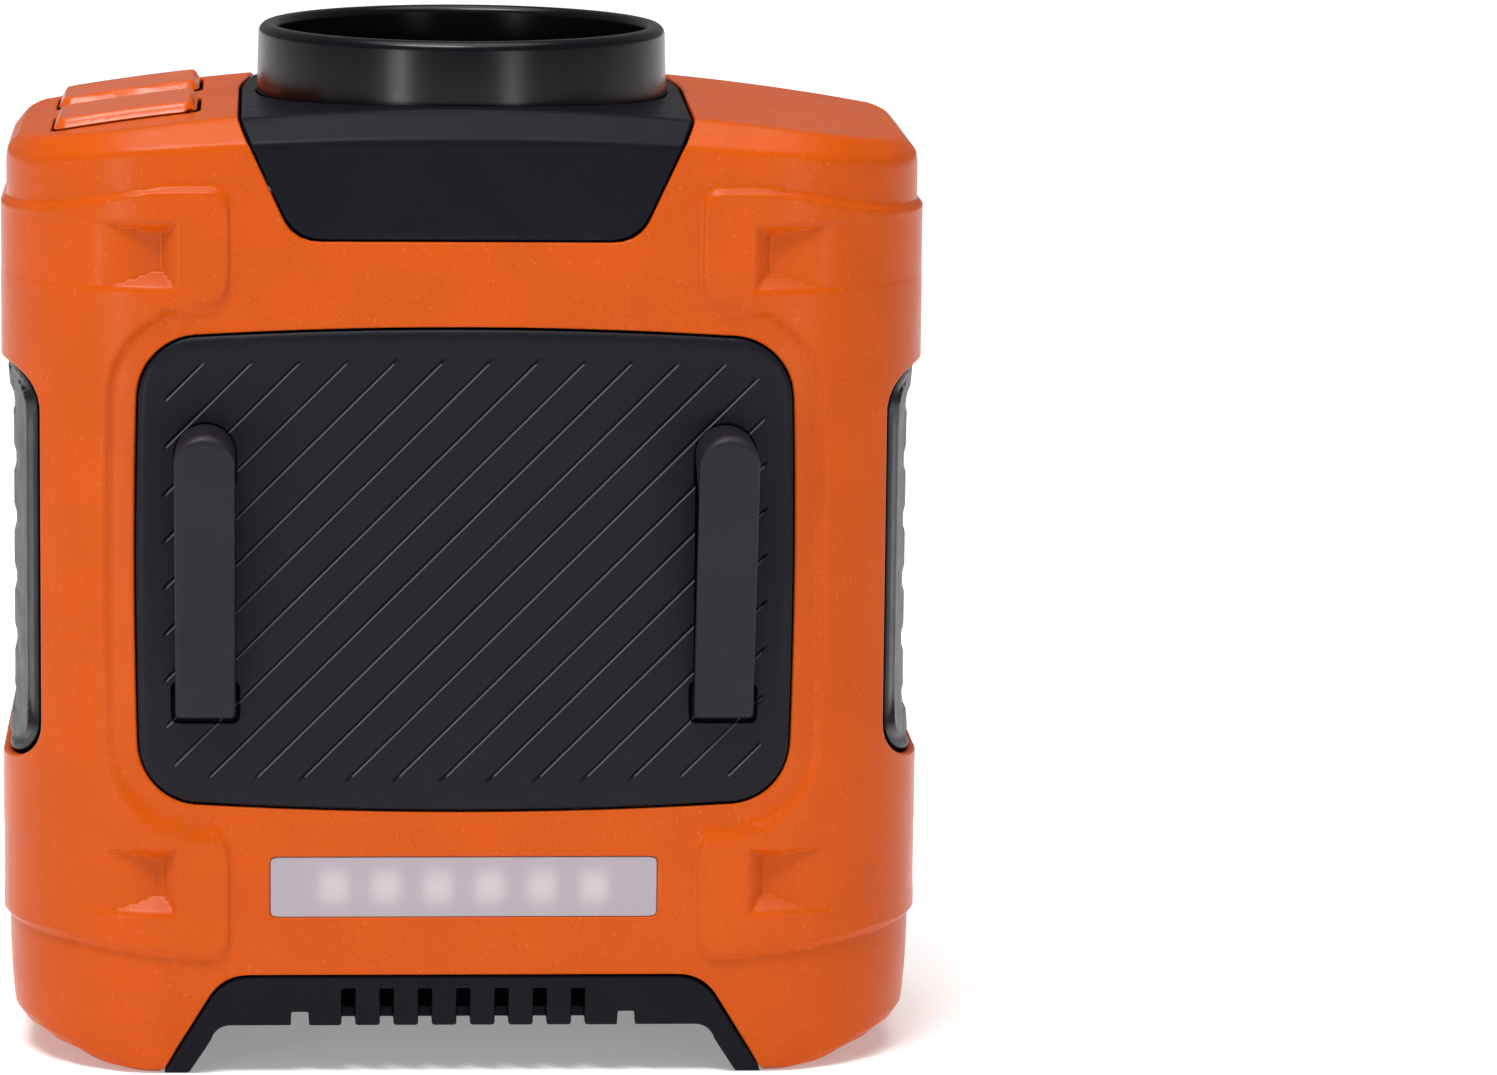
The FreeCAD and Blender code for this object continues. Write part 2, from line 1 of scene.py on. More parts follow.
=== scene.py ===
"""Looks of a belt-clip cooling fan with a work light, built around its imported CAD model.

The housing pieces are skins: rays leave the inside of the case and stop where a distance field
is zero. The field and every outline are in millimetres about the axis of the air outlet.
"""
import json
import math

import bmesh
import bpy
import numpy as np
from mathutils import Matrix, Vector


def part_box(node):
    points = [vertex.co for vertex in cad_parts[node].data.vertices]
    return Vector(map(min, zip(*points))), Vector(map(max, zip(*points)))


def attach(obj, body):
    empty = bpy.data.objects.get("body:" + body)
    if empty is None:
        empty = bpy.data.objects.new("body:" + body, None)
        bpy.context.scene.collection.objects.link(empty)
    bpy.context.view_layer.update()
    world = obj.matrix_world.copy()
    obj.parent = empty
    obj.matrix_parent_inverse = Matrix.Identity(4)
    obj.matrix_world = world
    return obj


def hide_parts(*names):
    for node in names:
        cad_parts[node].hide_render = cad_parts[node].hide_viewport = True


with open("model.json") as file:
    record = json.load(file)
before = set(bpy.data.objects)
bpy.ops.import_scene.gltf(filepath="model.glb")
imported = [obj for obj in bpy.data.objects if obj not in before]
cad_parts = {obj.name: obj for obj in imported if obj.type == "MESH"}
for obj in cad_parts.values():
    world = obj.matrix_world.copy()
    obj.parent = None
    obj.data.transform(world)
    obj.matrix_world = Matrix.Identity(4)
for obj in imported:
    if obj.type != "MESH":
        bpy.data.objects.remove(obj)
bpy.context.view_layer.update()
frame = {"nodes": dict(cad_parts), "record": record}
NODES = frame["nodes"]
MM = 0.001
AXIS_Y = sum(corner.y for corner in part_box("outlet_ring")) / 2 / MM

# Case, in millimetres about the outlet axis
HALF_WIDTH, FRONT, REAR = 53.7, -30.3, 26.3
FRONT_TURN, REAR_TURN = 19.0, 15.0
CROWN = 114.2
BEVEL_LOW = 110.6
RISE = 0.7  # of the bumpers and columns above the lower fields
TAPER_TOP, TAPER = 11.5, 0.09  # below this height the walls draw in, by this slope
COLUMN_X, FRAME_LOW, FRAME_TOP = 27.0, 13.8, 105.2  # edges of the raised bumpers and columns
BASE_TOP, BASE_HALF = 12.0, 35.4
COLLAR_LOW, COLLAR_FOOT, COLLAR_HALF = 98.7, 20.0, 26.6  # lower edge, half width there and above
COLLAR_DROP = 0.3

# Skins: their thickness, their rolled edges, and how far they stand inside an outline
WALL = 2.0
RIM = 0.3
PARTING_RIM = 0.2
PARTING_HALF, COLLAR_PARTING_HALF = 0.26, 0.25
COLLAR_FRONT_S = 75.6  # the front half's reach round the case, up to the parting line
GAP = 0.2
TIGHT = 0.12

# Clip panel, rear panel and their grooves
PANEL_HALF, PANEL_LOW, PANEL_HIGH, PANEL_TURN = 38.5, 31.5, 88.8, 7.5
PANEL_MIDDLE = (PANEL_LOW + PANEL_HIGH) / 2
PANEL_FACE, REAR_FACE = -30.4, 26.4
PANEL_DROP, PANEL_EDGE = 0.9, 1.4
GROOVE_PITCH = 5.5 / math.sqrt(2)
GROOVE_HALF, GROOVE_DEEP = 0.21, 0.24
SLOT_HALF, SLOT_HIGH, SLOT_PITCH = 8.5, 0.9, 18.5
ROW_LOW, ROW_PITCH, ROWS = 40, 5, 9

# Belt clips, seen from the side as (y, z)
CLIP_X = 30.2
CLIP_HALF = 3.5
CLIP_TOP = 74.0
CLIP_SIDE = [(-27.6, 77.4), (-40.2, 77.6), (-32.1, 43.0), (-30.1, 43.0), (-30.3, 46.2),
             (-37.9, 70.8), (-27.6, 70.8)]
CLIP_RADII = [0.3, 1.2, 0.8, 0.4, 0.6, 1.6, 0.3]
CLIP_EDGE = 0.55
POST_LOW = 70.55
TIP_POCKET = (-3.95, 3.95, 42.2, 47.0)  # low and high x about the clip's middle, low z, high z

# Side grips
GRIP_EDGE, GRIP_MIDDLE, GRIP_REACH = 49.7, 59.5, 23.6
GRIP_SIDE = 53.1
GRIP_BED, GRIP_GAP = 0.15, 0.08
RIDGE_PITCH = 7.2

# Light window, charging port, screws and pockets. A box is low x, high x, low z, high z.
LAMP = (-22.8, 22.8, 18.85, 26.3)
LAMP_PITCH = 6.1
PORT = (-7.0, 7.0, 17.2, 24.4)
SCREWS = [(side * 31.5, z) for side in (-1, 1) for z in (14.5, 97.0)]
SCREW_HOLE = 2.7
POCKETS = ((93.2, 100.9), (19.5, 27.2))
POCKET_X, POCKET_FLOOR, POCKET_END = 33.4, 35.8, 43.4
POCKET_DEPTH = 1.9

# Shoulder keys: their span in x, each one's span in y, and their form
KEY_X = (-48.4, -30.8)
KEYS = {"key_light": (-19.5, -3.5), "key_fan": (1.5, 16.0)}
KEY_RISE, KEY_SLOPE = 1.25, 1.3
KEY_GAP = 0.38
KEY_DRAFT = 0.25

# Outlet ring
RING_OUTER, RING_CREST, RING_SEAT, BORE = 24.3, 121.3, 112.9, 21.9
SLEEVE_BORE, SLEEVE_OUTER, SLEEVE_LOW, SLEEVE_STEP = 21.3, 23.0, 100.2, 105.8

# Stage, with the camera's place about the outlet axis and its turns in degrees
FLOOR_GLOW = 0.28
CAMERA_LENS, CAMERA_SENSOR = 176.6, 36.0
CAMERA_PLACE = (-20.24, -873.44, 205.0)
CAMERA_YAW, CAMERA_PITCH, CAMERA_ROLL = -3.612, 80.536, 0.634


def smoothstep(low, high, value):
    t = np.clip((value - low) / (high - low), 0, 1)
    return t * t * (3 - 2 * t)


def smax(a, b, blend):
    """The larger of two fields, rounded over where they are within blend of each other."""
    near = np.maximum(blend - np.abs(a - b), 0) / blend
    return np.maximum(a, b) + near * near * blend / 4


def smin(a, b, blend):
    return -smax(-a, -b, blend)


def rounded(u, v, turn):
    """Distance from a corner rounded by turn, u and v being distances past its two sides."""
    qu, qv = u + turn, v + turn
    return np.hypot(np.maximum(qu, 0), np.maximum(qv, 0)) + np.minimum(np.maximum(qu, qv), 0) - turn


def rounded_box(u, v, box, turn):
    """Distance in a plane from a rounded rectangle (low u, high u, low v, high v)."""
    past_u = np.abs(u - (box[0] + box[1]) / 2) - (box[1] - box[0]) / 2
    past_v = np.abs(v - (box[2] + box[3]) / 2) - (box[3] - box[2]) / 2
    return rounded(past_u, past_v, turn)


# Outlines. Each is negative inside its piece's opening.

def panel_outline(p):
    """The panel opening: its four sides bow out a little."""
    x, z = np.abs(p[:, 0]), p[:, 2] - PANEL_MIDDLE
    half_x = PANEL_HALF - 0.3 * np.clip(z / 20.85, -1, 1) ** 2
    half_z = PANEL_HIGH - PANEL_MIDDLE - 0.9 * np.clip(x / 30.6, 0, 1) ** 2
    return rounded(x - half_x, np.abs(z) - half_z, PANEL_TURN)


def collar_outline(p):
    """A trapezium in front view, narrowing to the rear in plan."""
    x, y, z = np.abs(p[:, 0]), p[:, 1], p[:, 2]
    slant = 0.908 * (x - COLLAR_FOOT) - 0.419 * (z - COLLAR_LOW)
    low = smax(slant, COLLAR_LOW - z, 3.0)
    side = smax(x - COLLAR_HALF - 0.035 * (z - 113), 0.992 * (x - COLLAR_HALF - 0.6) + 0.128 * y, 0.5)
    side = np.maximum(side, 0.98 * (x - 25) + 0.196 * (y - 17))
    return smax(low, side, 0.6)


def base_outline(p):
    """A trapezium with rounded shoulders, open to the floor."""
    x, z = np.abs(p[:, 0]), p[:, 2]
    return smax(0.859 * (x - BASE_HALF) + 0.512 * z, z - BASE_TOP, 2.9)


def grip_outline(p):
    x, z = np.abs(p[:, 0]), p[:, 2]
    box = (GRIP_EDGE, GRIP_EDGE + 60, GRIP_MIDDLE - GRIP_REACH, GRIP_MIDDLE + GRIP_REACH)
    return rounded_box(x, z, box, 5.0)


def lamp_outline(p):
    return rounded_box(p[:, 0], p[:, 2], LAMP, 0.8)


def port_outline(p):
    return rounded_box(p[:, 0], p[:, 2], PORT, 2.4)


def key_outline(span):
    """Outline of one shoulder key in plan. Points below the shoulder are well outside it."""
    box = (KEY_X[0], KEY_X[1], span[0], span[1])
    return lambda p: np.maximum(rounded_box(p[:, 0], p[:, 1], box, 2.0), 105 - p[:, 2])


def screw_outline(p):
    return np.min([np.hypot(p[:, 0] - x, p[:, 2] - z) - SCREW_HOLE for x, z in SCREWS], axis=0)


def ring_outline(p):
    return np.maximum(np.hypot(p[:, 0], p[:, 1]) - RING_OUTER - 0.15, 100 - p[:, 2])


# Fields. Each is zero on its surface and negative inside.

def plan_distance(x, y):
    """Distance in plan from the case's walls, which turn wider at the front than at the rear."""
    front = y < 0
    turn = np.where(front, FRONT_TURN, REAR_TURN)
    return rounded(np.abs(x) - HALF_WIDTH, np.where(front, FRONT - y, y - REAR), turn)


def raised_frame(p):
    """1 on the four corner bumpers and the columns between them, 0 on the lower fields."""
    x, z = np.abs(p[:, 0]), p[:, 2]
    top = FRAME_TOP - 3.0 * smoothstep(33, 54, x)
    low = FRAME_LOW + 2.2 * smoothstep(27.5, 54, x)
    inside = smin(x - COLUMN_X, top - z, 2.4)
    inside = smin(inside, z - low, 2.4)
    inside = smin(inside, 0.65 * (panel_outline(p) - 2.4), 2.6)
    return smoothstep(0, 0.9, np.minimum(inside, grip_outline(p) + 0.75))


def pocket_cutter(p):
    """Pockets in the bumpers: a floor that runs out at the corner, and three sloping walls."""
    x, z = np.abs(p[:, 0]), p[:, 2]
    below = RISE - plan_distance(p[:, 0], p[:, 1])
    depth = POCKET_DEPTH * np.clip((POCKET_END - x) / (POCKET_END - POCKET_FLOOR), 0, 1) ** 1.4
    inner = (1.9 * below - POCKET_DEPTH * (x - POCKET_X)) / 2.7
    found = []
    for low, high in POCKETS:
        upper = (1.3 * below + POCKET_DEPTH * (z - high)) / 2.3
        lower = (2.0 * below - POCKET_DEPTH * (z - low)) / 2.45
        found.append(np.max([below - depth, inner, upper, lower], axis=0))
    return np.minimum(*found)


def housing_field(p):
    """The case without its bumpers: walls, a bevel round a crowned top, and a tapered foot."""
    x, y, z = p.T
    side = np.abs(x)
    crown = CROWN + 0.012 * (y + 27) - 0.0018 * x * x
    plan = plan_distance(x, y)
    field = smax(plan, 0.673 * (1.1 * plan + z - BEVEL_LOW + 0.0011 * x * x), 0.4)
    field = smax(field, z - crown, 0.5)
    field = smax(field, 0.63 * (y - 17.6) + 0.778 * (z - crown), 1.0)
    field = smax(field, plan - TAPER * (z - TAPER_TOP), 0.4)
    field = smax(field, 0.33 * (side - 40.5) - 0.944 * (z - 0.3), 1.0)
    return smax(field, -z, 1.0)


def shell_field(p):
    field = housing_field(p) - RISE * raised_frame(p)
    return smax(field, -pocket_cutter(p), 0.15)


def collar_field(p):
    return housing_field(p) + COLLAR_DROP


def grip_field(p):
    """A long face with scoops across it and flared ends, in a sloping border and a sunk bed."""
    x, z = np.abs(p[:, 0]), np.abs(p[:, 2] - GRIP_MIDDLE)
    from_middle = np.abs(p[:, 1] + 1)
    side = x - GRIP_SIDE - 0.6 * smoothstep(15, 22.5, z)
    face = smax(side, 0.983 * side + 0.185 * (from_middle - 8.7), 0.3)
    border = 0.75 * np.maximum(1.5 + grip_outline(p), 0)
    wave = 0.5 - 0.5 * np.cos(2 * np.pi * (p[:, 2] - GRIP_MIDDLE) / RIDGE_PITCH)
    deep = 0.3 * smoothstep(-14, -9, -from_middle) + 0.6 * smoothstep(-9, -4, -from_middle)
    scoop = deep * smoothstep(0.55, 0.95, wave) * smoothstep(2.0, 3.5, -grip_outline(p))
    bed = housing_field(p) + GRIP_BED + 0.8 * np.maximum(-grip_outline(p) - 0.7, 0)
    return smin(face + border + scoop, bed, 0.3)


def key_field(outline):
    """A raised key: flush at its outline, with sloping sides up to its flat top."""
    def field(p):
        return housing_field(p) - KEY_RISE * smoothstep(0.2, KEY_SLOPE, -outline(p))
    return field


# Sheets. Each turns two parameters, in millimetres, into a ray.

SIDE_START = HALF_WIDTH - FRONT_TURN + FRONT_TURN * math.pi / 2
PARTING_S = SIDE_START - FRONT - FRONT_TURN
SIDE_END = PARTING_S + REAR - REAR_TURN
REAR_START = SIDE_END + REAR_TURN * math.pi / 2
REAR_MIDDLE = REAR_START + HALF_WIDTH - REAR_TURN
INSET = 8.0
WALL_LOW, WALL_HIGH, ARC = 8.0, 104.0, 13.0
TOP_START, BASE_START, LID_SPAN = WALL_HIGH + ARC, WALL_LOW - ARC, 46.0


def contour(s):
    """Point and normal in plan, s round the housing from the middle of the front."""
    mirrored = (s < 0) | (s > REAR_MIDDLE)
    a = np.where(s > REAR_MIDDLE, 2 * REAR_MIDDLE - s, np.abs(s))
    flat = HALF_WIDTH - FRONT_TURN
    near = np.clip((a - flat) / FRONT_TURN, 0, math.pi / 2)
    far = np.clip((a - SIDE_END) / REAR_TURN, 0, math.pi / 2)
    turned = near + far
    nx, ny = np.sin(turned), -np.cos(turned)
    back = a > SIDE_END
    turn = np.where(back, REAR_TURN, FRONT_TURN)
    cx = HALF_WIDTH - turn
    cy = np.where(back, REAR - REAR_TURN, FRONT + FRONT_TURN)
    x = cx + turn * nx + np.minimum(a - flat, 0) - np.maximum(a - REAR_START, 0)
    y = cy + turn * ny + np.where(back, 0, np.clip(a - SIDE_START, 0, SIDE_END - SIDE_START))
    sign = np.where(mirrored, -1, 1)
    return sign * x, y, sign * nx, ny


def housing_rays(s, t):
    """Level rays at the walls, fanned over both edges, and upright ones at the top and base."""
    x, y, nx, ny = contour(s)
    lid = np.maximum(np.maximum(t - TOP_START, BASE_START - t), 0)
    share = 1 - lid / LID_SPAN
    z = np.clip(t, WALL_LOW, WALL_HIGH)
    lean = np.clip((t - z) / ARC, -1, 1) * math.pi / 2
    start = np.stack([(x - INSET * nx) * share, (y - INSET * ny) * share, z], 1)
    way = np.stack([nx * np.cos(lean), ny * np.cos(lean), np.sin(lean)], 1)
    return start, way


def face_rays(way_y, face_y, turn=0.0):
    """Rays square to the front (way_y -1) or the rear (1), on a grid turned by an angle."""
    def rays(s, t):
        across = s * math.cos(turn) - t * math.sin(turn)
        up = s * math.sin(turn) + t * math.cos(turn)
        start = np.stack([-way_y * across, np.full_like(s, face_y - 4 * way_y), PANEL_MIDDLE + up], 1)
        return start, np.tile([0.0, way_y, 0.0], (len(s), 1))
    return rays


def march(rays, field, s, t, level=0.0, reach=18.0, steps=24):
    """Where each ray's field reaches level."""
    start, way = rays(s, t)
    low, high = np.zeros(len(start)), np.full(len(start), reach)
    for _ in range(steps):
        middle = (low + high) / 2
        inside = field(start + way * middle[:, None]) < level
        low, high = np.where(inside, middle, low), np.where(inside, high, middle)
    return start + way * ((low + high) / 2)[:, None]


def gradient(field, p, step=0.03):
    columns = []
    for axis in np.eye(3) * step:
        columns.append(field(p + axis) - field(p - axis))
    found = np.stack(columns, 1)
    return found / np.maximum(np.linalg.norm(found, axis=1), 1e-9)[:, None]


def lines(start, end, spacing, details=()):
    """Grid lines from start to end, closer by the details (place, half width, finest spacing)."""
    probe = np.linspace(start, end, 6000)
    density = np.full_like(probe, 1 / spacing)
    for place, half, fine in details:
        density += (1 / fine - 1 / spacing) * np.exp(-((probe - place) / half) ** 4)
    total = np.concatenate([[0], np.cumsum((density[1:] + density[:-1]) / 2 * np.diff(probe))])
    count = int(math.ceil(total[-1]))
    return np.interp(np.linspace(0, total[-1], count + 1), total, probe)


def unit(v):
    return v / np.maximum(np.linalg.norm(v, axis=1), 1e-9)[:, None]


def kept_faces(keep):
    """Drops faces until no vertex joins two kept faces by their corners alone."""
    for _ in range(8):
        a, b, c, d = keep[:-1, :-1], keep[1:, :-1], keep[1:, 1:], keep[:-1, 1:]
        pinched = (a & c & ~b & ~d) | (b & d & ~a & ~c)
        if not pinched.any():
            break
        a &= ~pinched
        b &= ~pinched
    return keep


def snap(rays, field, outline, s, t, free_s, free_t, level):
    """Slides parameters until their surface points lie on the outline's level line."""
    step = 0.04
    for _ in range(5):
        value = outline(march(rays, field, s, t)) - level
        by_s = (outline(march(rays, field, s + step, t)) - level - value) / step * free_s
        by_t = (outline(march(rays, field, s, t + step)) - level - value) / step * free_t
        scale = by_s ** 2 + by_t ** 2 + 1e-3
        s = s - np.clip(value * by_s / scale, -0.6, 0.6)
        t = t - np.clip(value * by_t / scale, -0.6, 0.6)
    return s, t


def cells(ns, nt):
    """The cells of a grid of rays, as quads of ray numbers."""
    index = np.arange(ns * nt).reshape(ns, nt)
    return np.stack([index[:-1, :-1], index[1:, :-1], index[1:, 1:], index[:-1, 1:]], 2)


def unpaired(faces, count):
    """The edges that only one face has, each in its face's direction."""
    edges = np.stack([faces, np.roll(faces, -1, 1)], 2).reshape(-1, 2)
    code = edges[:, 0] * count + edges[:, 1]
    back = edges[:, 1] * count + edges[:, 0]
    return edges[~np.isin(code, back)]


def along_end(edges, line, last):
    """True for the edges that run along the first or the last grid line."""
    first, second = line[edges[:, 0]], line[edges[:, 1]]
    return (first == second) & ((first == 0) | (first == last))


def outward(points, normals, edges):
    """At each point of the edges, the way out of the surface, in its plane."""
    out = np.zeros_like(points)
    for a, b in edges:
        along = points[b] - points[a]
        side = np.cross(along, normals[a] + normals[b])
        side /= max(np.linalg.norm(side), 1e-9)
        out[a] += side
        out[b] += side
    out = unit(out)
    return unit(out - normals * (out * normals).sum(1)[:, None])


def rim_strips(edges, on_rim, count):
    """Faces from the surface's edge over the rim's three loops to the back's edge."""
    ring = len(on_rim)
    place = np.full(count, -1)
    place[on_rim] = np.arange(ring)
    levels = [edges] + [place[edges] + count + number * ring for number in range(3)]
    levels.append(edges + count + 3 * ring)
    return [np.stack([one[:, 1], one[:, 0], two[:, 0], two[:, 1]], 1)
            for one, two in zip(levels, levels[1:])]


def skin(name, rays, s_lines, t_lines, field, outline, rim=RIM, wall=WALL, draft=0.0):
    """A closed piece: the surface where outline > 0, rims rolled over at its edges, and a back.

    draft draws the back in towards its middle in plan, as a share.
    """
    ns, nt = len(s_lines), len(t_lines)
    s, t = [grid.ravel().copy() for grid in np.meshgrid(s_lines, t_lines, indexing="ij")]
    quads = cells(ns, nt)
    middle = march(rays, field, s, t)[quads.reshape(-1, 4)].mean(1)
    faces = quads[kept_faces((outline(middle) > rim).reshape(ns - 1, nt - 1))]
    used = np.unique(faces)
    count = len(used)
    faces = np.searchsorted(used, faces)
    s, t = s[used], t[used]
    row, column = used // nt, used % nt

    edges = unpaired(faces, count)
    on_rim = np.unique(edges)
    at_end = along_end(edges, row, ns - 1) | along_end(edges, column, nt - 1)
    cut = np.zeros(count, bool)
    cut[edges[~at_end]] = True
    free_s = (row[cut] != 0) & (row[cut] != ns - 1)
    free_t = (column[cut] != 0) & (column[cut] != nt - 1)
    s[cut], t[cut] = snap(rays, field, outline, s[cut], t[cut], free_s, free_t, rim)
    points = march(rays, field, s, t)
    normals = gradient(field, points)

    out = outward(points, normals, edges)[on_rim]
    edge_normals = normals[on_rim]
    radius = np.where(cut[on_rim], rim, PARTING_RIM)[:, None]
    loops, loop_normals = [], []
    for turn in (math.pi / 6, math.pi / 3, math.pi / 2):
        roll = out * math.sin(turn) - edge_normals * (1 - math.cos(turn))
        loops.append(points[on_rim] + radius * roll)
        loop_normals.append(edge_normals * math.cos(turn) + out * math.sin(turn))
    back = march(rays, field, s, t, level=-wall)
    back[on_rim] += radius * out
    back[:, :2] += draft * (back[:, :2].mean(0) - back[:, :2])

    back_faces = faces[:, ::-1] + count + 3 * len(on_rim)
    all_faces = np.concatenate([faces, back_faces] + rim_strips(edges, on_rim, count))
    all_points = np.concatenate([points] + loops + [back])
    all_normals = np.concatenate([normals] + loop_normals + [-normals])
    return solid(name, all_points, all_faces, all_normals)


def to_frame(points):
    """Millimetres about the outlet axis, as metres in the row frame."""
    return (points + np.array([0, AXIS_Y, 0])) * MM


def solid(name, points, faces, normals=None):
    mesh = bpy.data.meshes.new(name)
    mesh.from_pydata(to_frame(np.asarray(points, float)).tolist(), [], [list(face) for face in faces])
    mesh.update()
    mesh.polygons.foreach_set("use_smooth", [True] * len(mesh.polygons))
    if normals is not None:
        mesh.normals_split_custom_set_from_vertices(np.asarray(normals).tolist())
    piece = bpy.data.objects.new(name, mesh)
    bpy.context.scene.collection.objects.link(piece)
    return piece


def dress(piece, material, slot, body, *nodes):
    """Material, finish slot (not used), body and the CAD nodes that the piece stands for."""
    piece.data.materials.clear()
    piece.data.materials.append(material)
    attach(piece, body)
    if nodes:
        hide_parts(*nodes)
    return piece


# Materials

def srgb(r, g, b):
    """An 8-bit display colour as linear values."""
    values = [c / 255 for c in (r, g, b)]
    return [c / 12.92 if c < 0.04045 else ((c + 0.055) / 1.055) ** 2.4 for c in values]


class Nodes:
    """Short calls for building one material's node tree."""

    def __init__(self, name):
        self.material = bpy.data.materials.new(name)
        self.material.use_nodes = True
        self.tree = self.material.node_tree
        self.shader = self.tree.nodes["Principled BSDF"]
        self.place = self.node("ShaderNodeTexCoord").outputs["Object"]

    def node(self, kind, **values):
        made = self.tree.nodes.new(kind)
        for key, value in values.items():
            setattr(made, key, value)
        return made

    def link(self, source, target):
        self.tree.links.new(source, target)

    def noise(self, size_mm, detail=2.0, rough=0.5):
        made = self.node("ShaderNodeTexNoise")
        made.inputs["Scale"].default_value = 1 / (size_mm * MM)
        made.inputs["Detail"].default_value = detail
        made.inputs["Roughness"].default_value = rough
        self.link(self.place, made.inputs["Vector"])
        return made.outputs["Fac"]

    def span(self, value, low, high, to_low, to_high):
        """Eases from to_low to to_high as value goes from low to high."""
        made = self.node("ShaderNodeMapRange", interpolation_type="SMOOTHSTEP")
        sockets = ("From Min", "From Max", "To Min", "To Max")
        for key, number in zip(sockets, (low, high, to_low, to_high)):
            made.inputs[key].default_value = number
        self.link(value, made.inputs["Value"])
        return made.outputs["Result"]

    def axes(self):
        """The place's three coordinates."""
        parts = self.node("ShaderNodeSeparateXYZ")
        self.link(self.place, parts.inputs[0])
        return parts.outputs

    def mix(self, share, first, second):
        made = self.node("ShaderNodeMix", data_type="RGBA")
        self.link(share, made.inputs[0])
        for socket, colour in ((made.inputs[6], first), (made.inputs[7], second)):
            if isinstance(colour, bpy.types.NodeSocket):
                self.link(colour, socket)
            else:
                socket.default_value = (*colour, 1)
        return made.outputs[2]

    def math(self, operation, first, second=0.0):
        made = self.node("ShaderNodeMath", operation=operation)
        for socket, value in zip(made.inputs, (first, second)):
            if isinstance(value, bpy.types.NodeSocket):
                self.link(value, socket)
            else:
                socket.default_value = value
        return made.outputs[0]

    def bump(self, height, depth_mm, under=None):
        made = self.node("ShaderNodeBump")
        made.inputs["Strength"].default_value = 1.0
        made.inputs["Distance"].default_value = depth_mm * MM
        self.link(height, made.inputs["Height"])
        if under:
            self.link(under, made.inputs["Normal"])
        return made.outputs["Normal"]


def painted_groove_highlight(n):
    """1 along the lower edge of each groove of the clip panel, where a paler line is painted as a
    highlight.
    """
    x, y, z = n.axes()
    rise = n.math("SUBTRACT", z, PANEL_MIDDLE * MM)
    pitches = 1 / (math.sqrt(2) * GROOVE_PITCH * MM)
    across = n.math("MULTIPLY", n.math("SUBTRACT", rise, x), pitches)
    share = n.math("FRACT", n.math("ADD", across, 100.5))
    aside = 0.5 - 0.2 / GROOVE_PITCH
    off = n.math("ABSOLUTE", n.math("SUBTRACT", share, aside))
    line = n.span(off, 0.03 / GROOVE_PITCH, 0.11 / GROOVE_PITCH, 1, 0)
    margin_x, margin_z, turn = 3.7, 4.2, 4.0
    flat_x = PANEL_HALF - margin_x - turn
    flat_z = (PANEL_HIGH - PANEL_LOW) / 2 - margin_z - turn
    past_x = n.math("SUBTRACT", n.math("ABSOLUTE", x), flat_x * MM)
    past_z = n.math("SUBTRACT", n.math("ABSOLUTE", rise), flat_z * MM)
    squares = [n.math("POWER", n.math("MAXIMUM", past, 0.0), 2.0) for past in (past_x, past_z)]
    out = n.math("SQRT", n.math("ADD", *squares))
    highlit_grooves = n.span(out, (turn - 0.2) * MM, turn * MM, 1, 0)
    front = n.span(y, (AXIS_Y - 25) * MM, (AXIS_Y - 24) * MM, 1, 0)
    return n.math("MULTIPLY", n.math("MULTIPLY", line, front), highlit_grooves)


def moulded(name, colour, rough=0.45, spread=0.08, shift=0.06, grain_mm=0.25, grain_depth=0.006,
            specular=0.5, speck=None, edge_highlight=0.06, metallic=0.0, coat=0.0, highlit_grooves=False):
    """A moulded or metal surface: fine grain, uneven tone and gloss, and slightly paler edges, a painted
    edge highlight.
    """
    n = Nodes(name)
    base = srgb(*colour)
    darker = [c * (1 - shift) for c in base]
    lighter = [min(c * (1 + shift), 1) for c in base]
    tone = n.mix(n.span(n.noise(9.0, 4.0, 0.6), 0.35, 0.65, 0, 1), darker, lighter)
    # Convex edges are painted paler, in patches, as a highlight.
    highlit_edge = [c + (0.6 - c) * 0.25 for c in base]
    edge = n.node("ShaderNodeNewGeometry").outputs["Pointiness"]
    patchy = n.span(n.noise(1.3, 3.0), 0.4, 0.6, 0.2, 1)
    tone = n.mix(n.math("MULTIPLY", n.span(edge, 0.53, 0.62, 0, edge_highlight), patchy), tone, highlit_edge)
    if speck:
        share, speck_colour = speck
        dots = n.span(n.noise(0.45, 0.0), 0.735, 0.76, 0, share)
        tone = n.mix(dots, tone, srgb(*speck_colour))
    # Painted highlight: a paler line along the lower edge of each groove.
    if highlit_grooves:
        tone = n.mix(n.math("MULTIPLY", painted_groove_highlight(n), 0.5), tone, srgb(118, 118, 124))
    n.link(tone, n.shader.inputs["Base Color"])
    patches = n.span(n.noise(4.0, 5.0, 0.65), 0.3, 0.7, rough - spread, rough + spread)
    n.link(patches, n.shader.inputs["Roughness"])
    coarse = n.bump(n.noise(2.2, 3.0), grain_depth)
    n.link(n.bump(n.noise(grain_mm, 2.0, 0.6), grain_depth, coarse), n.shader.inputs["Normal"])
    n.shader.inputs["Specular IOR Level"].default_value = specular
    n.shader.inputs["Metallic"].default_value = metallic
    n.shader.inputs["Coat Weight"].default_value = coat
    return n.material


